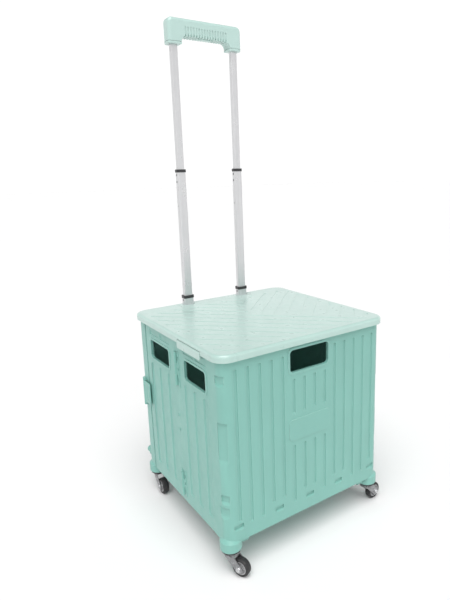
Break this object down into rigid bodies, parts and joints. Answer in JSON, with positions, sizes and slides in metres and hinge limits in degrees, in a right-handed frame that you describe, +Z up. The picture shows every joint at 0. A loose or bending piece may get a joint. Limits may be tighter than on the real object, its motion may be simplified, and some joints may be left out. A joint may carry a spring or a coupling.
{
  "type": "folding shopping cart",
  "caption": "Folding plastic shopping cart: a ribbed box with hand holes and a lid, on swivel casters, with a telescopic pull handle.",
  "frame": {"origin": "on the ground under the middle of the box", "axes": "+X to the right along the front panel, +Y to the back where the handle is, +Z up"},
  "size_m": [0.45, 0.437, 1.129],
  "materials": {
    "mint_body": "satin moulded plastic",
    "mint_light": "satin moulded plastic, lighter",
    "mint_grip": "satin moulded plastic, palest",
    "handle_tube": "satin anodised",
    "black_plastic": "moulded black plastic",
    "fork_steel": "zinc-plated pressed steel",
    "pin_steel": "plated steel",
    "tyre": "hard black tread",
    "hub_grey": "grey moulded hub"
  },
  "bodies": {
    "back": {"back_panel": "mint_body", "top_bracket": "mint_light", "bottom_bracket": "mint_body", "rest_feet": "mint_body", "latch_pins": "pin_steel", "rear_hinge_pins": "pin_steel", "floor_hinge_pin": "pin_steel", "outer_tube_L": "handle_tube", "outer_tube_R": "handle_tube", "outer_collar_L": "black_plastic", "outer_collar_R": "black_plastic", "caster_stems_rear": "pin_steel", "swivel_rings_rear": "black_plastic"},
    "rear_leaf_left": {"rear_leaf_L": "mint_body", "mid_hinge_pins_L": "pin_steel"},
    "rear_leaf_right": {"rear_leaf_R": "mint_body", "mid_hinge_pins_R": "pin_steel"},
    "front_leaf_left": {"front_leaf_L": "mint_body"},
    "front_leaf_right": {"front_leaf_R": "mint_body"},
    "front": {"front_panel": "mint_body", "front_hinge_pins": "pin_steel", "caster_stems_front": "pin_steel", "swivel_rings_front": "black_plastic"},
    "floor": {"floor_panel": "mint_body"},
    "lid": {"lid": "mint_light", "lid_clip_pins": "pin_steel"},
    "clip_left": {"lid_clip_L": "mint_light"},
    "clip_right": {"lid_clip_R": "mint_light"},
    "latch_left": {"side_latch_L": "mint_body"},
    "latch_right": {"side_latch_R": "mint_body"},
    "mid_stage_left": {"mid_tube_L": "handle_tube", "mid_collar_L": "black_plastic"},
    "mid_stage_right": {"mid_tube_R": "handle_tube", "mid_collar_R": "black_plastic"},
    "grip_stage": {"inner_tube_L": "handle_tube", "inner_tube_R": "handle_tube", "grip": "mint_grip"},
    "button": {"release_button": "mint_grip"},
    "caster_FL": {"fork_FL": "fork_steel", "axle_FL": "pin_steel"},
    "wheel_FL": {"tyre_FL": "tyre", "hub_FL": "hub_grey"},
    "caster_FR": {"fork_FR": "fork_steel", "axle_FR": "pin_steel"},
    "wheel_FR": {"tyre_FR": "tyre", "hub_FR": "hub_grey"},
    "caster_RL": {"fork_RL": "fork_steel", "axle_RL": "pin_steel"},
    "wheel_RL": {"tyre_RL": "tyre", "hub_RL": "hub_grey"},
    "caster_RR": {"fork_RR": "fork_steel", "axle_RR": "pin_steel"},
    "wheel_RR": {"tyre_RR": "tyre", "hub_RR": "hub_grey"}
  },
  "joints": [
    {"name": "fold_rear_left", "type": "hinge", "parent": "back", "child": "rear_leaf_left", "pos_m": [-0.195, 0.15, 0.263], "axis": [0, 0, 1], "range_deg": [0, 84]},
    {"name": "fold_middle_left", "type": "hinge", "parent": "rear_leaf_left", "child": "front_leaf_left", "pos_m": [-0.209, -0.01, 0.263], "axis": [0, 0, -1], "range_deg": [0, 168]},
    {"name": "fold_front_left", "type": "hinge", "parent": "front_leaf_left", "child": "front", "pos_m": [-0.195, -0.17, 0.263], "axis": [0, 0, 1], "range_deg": [0, 84]},
    {"name": "fold_rear_right", "type": "hinge", "parent": "back", "child": "rear_leaf_right", "pos_m": [0.195, 0.15, 0.263], "axis": [0, 0, -1], "range_deg": [0, 84]},
    {"name": "fold_middle_right", "type": "hinge", "parent": "rear_leaf_right", "child": "front_leaf_right", "pos_m": [0.209, -0.01, 0.263], "axis": [0, 0, 1], "range_deg": [0, 168]},
    {"name": "floor_hinge", "type": "hinge", "parent": "back", "child": "floor", "pos_m": [0, 0.158, 0.069], "axis": [-1, 0, 0], "range_deg": [0, 90]},
    {"name": "lid_lift", "type": "slide", "parent": "back", "child": "lid", "axis": [0, 0, 1], "range_m": [0, 0.25]},
    {"name": "lid_clip_left", "type": "hinge", "parent": "lid", "child": "clip_left", "pos_m": [-0.2132, -0.0865, 0.4574], "axis": [0, 1, 0], "range_deg": [0, 100]},
    {"name": "lid_clip_right", "type": "hinge", "parent": "lid", "child": "clip_right", "pos_m": [0.2132, -0.0865, 0.4574], "axis": [0, -1, 0], "range_deg": [0, 100]},
    {"name": "latch_left", "type": "hinge", "parent": "back", "child": "latch_left", "pos_m": [-0.2112, 0.177, 0.274], "axis": [0, 0, -1], "range_deg": [0, 100]},
    {"name": "latch_right", "type": "hinge", "parent": "back", "child": "latch_right", "pos_m": [0.2112, 0.177, 0.274], "axis": [0, 0, 1], "range_deg": [0, 100]},
    {"name": "handle_lower_left", "type": "slide", "parent": "back", "child": "mid_stage_left", "axis": [0, 0, -1], "range_m": [0, 0.298]},
    {"name": "handle_lower_right", "type": "slide", "parent": "back", "child": "mid_stage_right", "axis": [0, 0, -1], "range_m": [0, 0.298]},
    {"name": "handle_upper", "type": "slide", "parent": "mid_stage_left", "child": "grip_stage", "axis": [0, 0, -1], "range_m": [0, 0.273]},
    {"name": "release_button", "type": "slide", "parent": "grip_stage", "child": "button", "axis": [0, 0, 1], "range_m": [0, 0.003], "stiffness_N_per_m": 400, "springref_m": -0.001},
    {"name": "swivel_FL", "type": "hinge", "parent": "front", "child": "caster_FL", "pos_m": [-0.19, -0.178, 0.05], "axis": [0, 0, 1], "continuous": true},
    {"name": "roll_FL", "type": "hinge", "parent": "caster_FL", "child": "wheel_FL", "pos_m": [-0.18024, -0.19992, 0.0195], "axis": [0.9135, 0.4067, 0], "continuous": true},
    {"name": "swivel_FR", "type": "hinge", "parent": "front", "child": "caster_FR", "pos_m": [0.19, -0.178, 0.05], "axis": [0, 0, 1], "continuous": true},
    {"name": "roll_FR", "type": "hinge", "parent": "caster_FR", "child": "wheel_FR", "pos_m": [0.21387, -0.17549, 0.0195], "axis": [-0.1045, 0.9945, 0], "continuous": true},
    {"name": "swivel_RL", "type": "hinge", "parent": "back", "child": "caster_RL", "pos_m": [-0.19, 0.178, 0.05], "axis": [0, 0, 1], "continuous": true},
    {"name": "roll_RL", "type": "hinge", "parent": "caster_RL", "child": "wheel_RL", "pos_m": [-0.19084, 0.15402, 0.0195], "axis": [0.9994, -0.0349, 0], "continuous": true},
    {"name": "swivel_RR", "type": "hinge", "parent": "back", "child": "caster_RR", "pos_m": [0.19, 0.178, 0.05], "axis": [0, 0, 1], "continuous": true},
    {"name": "roll_RR", "type": "hinge", "parent": "caster_RR", "child": "wheel_RR", "pos_m": [0.19417, 0.15437, 0.0195], "axis": [0.9848, 0.1736, 0], "continuous": true}
  ],
  "couplings": [
    {"joint": "fold_middle_left", "follows": "fold_rear_left", "ratio": 2},
    {"joint": "fold_front_left", "follows": "fold_rear_left", "ratio": 1},
    {"joint": "fold_rear_right", "follows": "fold_rear_left", "ratio": 1},
    {"joint": "fold_middle_right", "follows": "fold_rear_left", "ratio": 2},
    {"joint": "handle_lower_right", "follows": "handle_lower_left", "ratio": 1}
  ]
}
